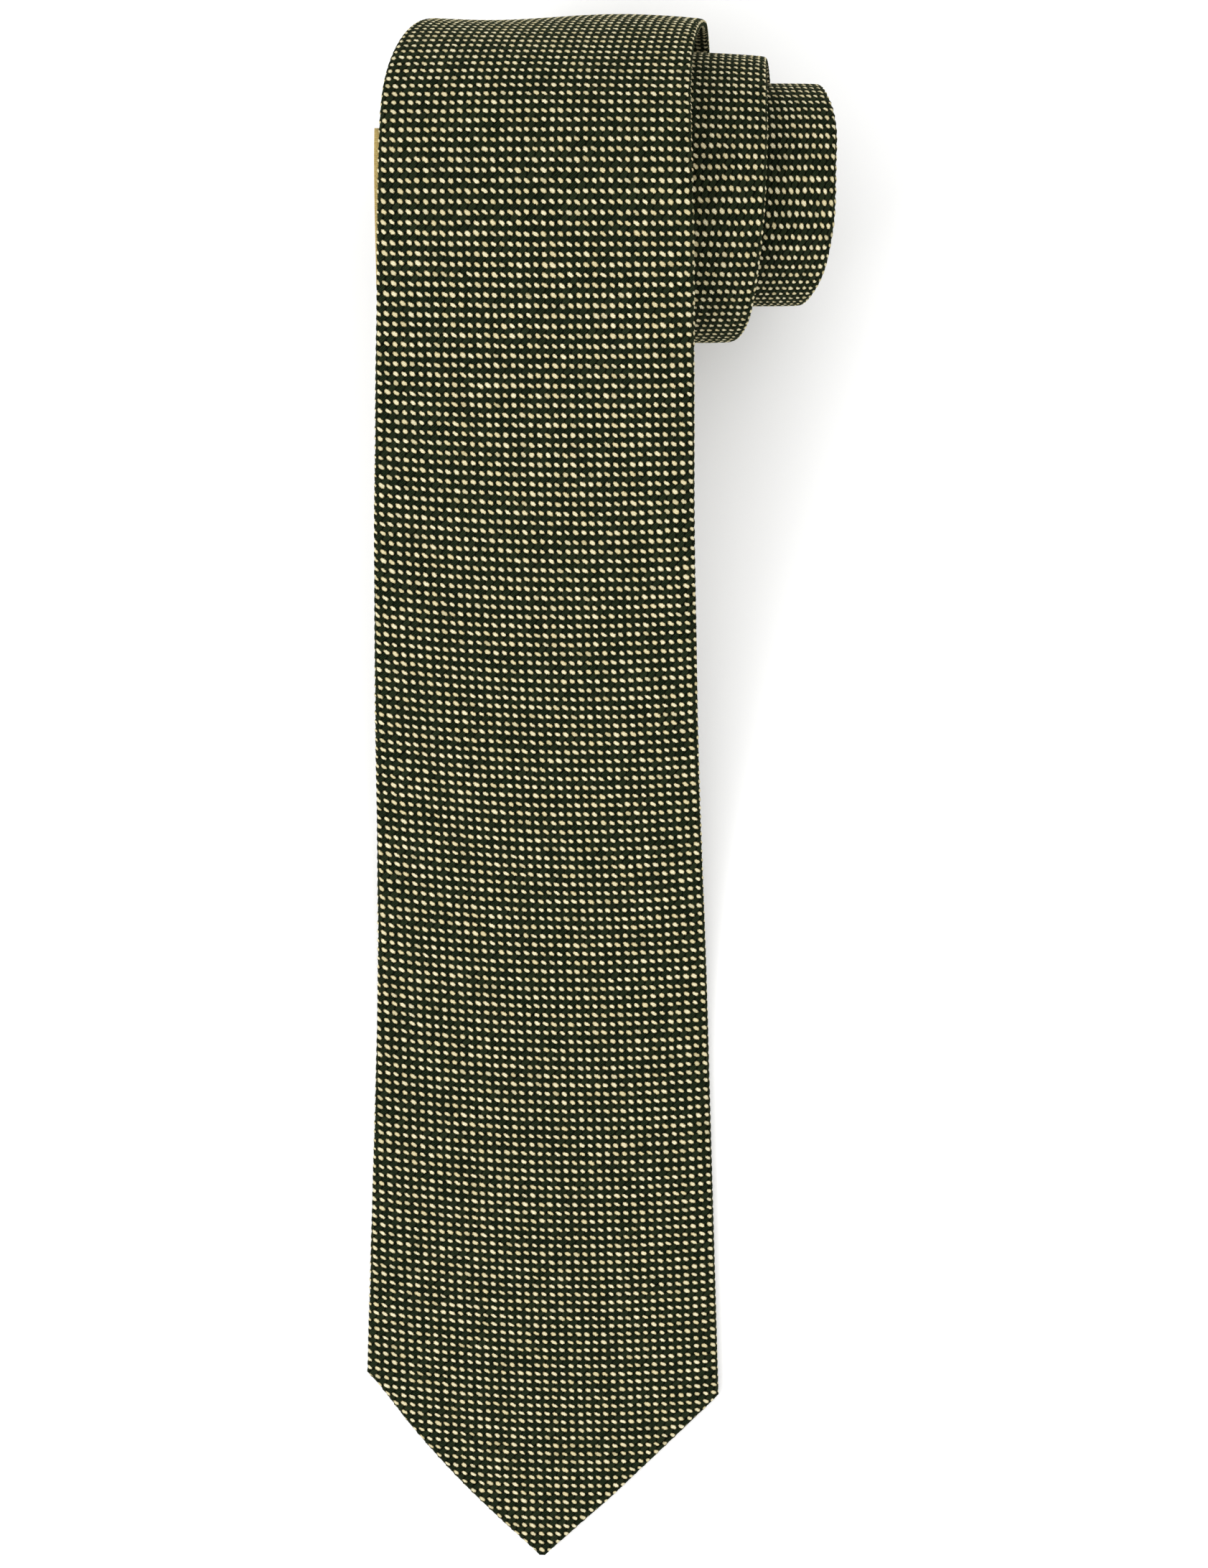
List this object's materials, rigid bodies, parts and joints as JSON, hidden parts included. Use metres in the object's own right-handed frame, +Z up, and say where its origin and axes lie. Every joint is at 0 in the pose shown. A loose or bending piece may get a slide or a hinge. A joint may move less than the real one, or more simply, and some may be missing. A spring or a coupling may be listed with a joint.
{
  "type": "necktie",
  "caption": "Rolled necktie in dotted cloth: a flat pointed blade lies out in front of a stepped roll, with lining, slip stitch and keeper loop on its back.",
  "frame": {"origin": "middle of the bounding box at the level of the surface it lies on", "axes": "+Z up from the table, the blade's point looks along -Y, +X to the side the roll's turns step towards"},
  "size_m": [0.105, 0.3412, 0.074],
  "materials": {
    "tie_cloth": "matt bias-cut weave, dark green with small cream dots",
    "interlining": "brushed wool and cotton",
    "tipping": "plain dark green satin lining",
    "thread": "dark green sewing thread",
    "keeper_label": "gold coloured woven satin band, blank",
    "care_label": "white woven tape, blank"
  },
  "bodies": {
    "outer_turn": {"outer_turn_shell": "tie_cloth", "outer_turn_interlining": "interlining", "outer_turn_slip_stitch": "thread", "keeper_loop": "keeper_label", "keeper_stitches": "thread"},
    "blade": {"blade_shell": "tie_cloth", "blade_interlining": "interlining", "blade_tipping": "tipping", "blade_slip_stitch": "thread", "blade_bar_tack": "thread", "care_label": "care_label"},
    "middle_turn": {"middle_turn_shell": "tie_cloth", "middle_turn_interlining": "interlining", "middle_turn_slip_stitch": "thread"},
    "core": {"blade_neck_seam": "tie_cloth", "neck_shell": "tie_cloth", "neck_interlining": "interlining", "neck_slip_stitch": "thread", "neck_tail_seam": "tie_cloth", "tail_shell": "tie_cloth", "tail_interlining": "interlining", "tail_slip_stitch": "thread", "tail_tipping": "tipping", "tail_bar_tack": "thread"}
  },
  "joints": [
    {"name": "blade_lift", "type": "hinge", "parent": "outer_turn", "child": "blade", "pos_m": [-0.01285, 0.08905, 0.05801], "axis": [-1, 0, 0], "range_deg": [0, 100]},
    {"name": "turn_slide", "type": "slide", "parent": "outer_turn", "child": "middle_turn", "axis": [1, 0, 0], "range_m": [-0.018, 0.006]},
    {"name": "core_slide", "type": "slide", "parent": "middle_turn", "child": "core", "axis": [1, 0, 0], "range_m": [-0.018, 0.006]}
  ],
  "couplings": [
    {"joint": "core_slide", "follows": "turn_slide", "ratio": 1}
  ]
}
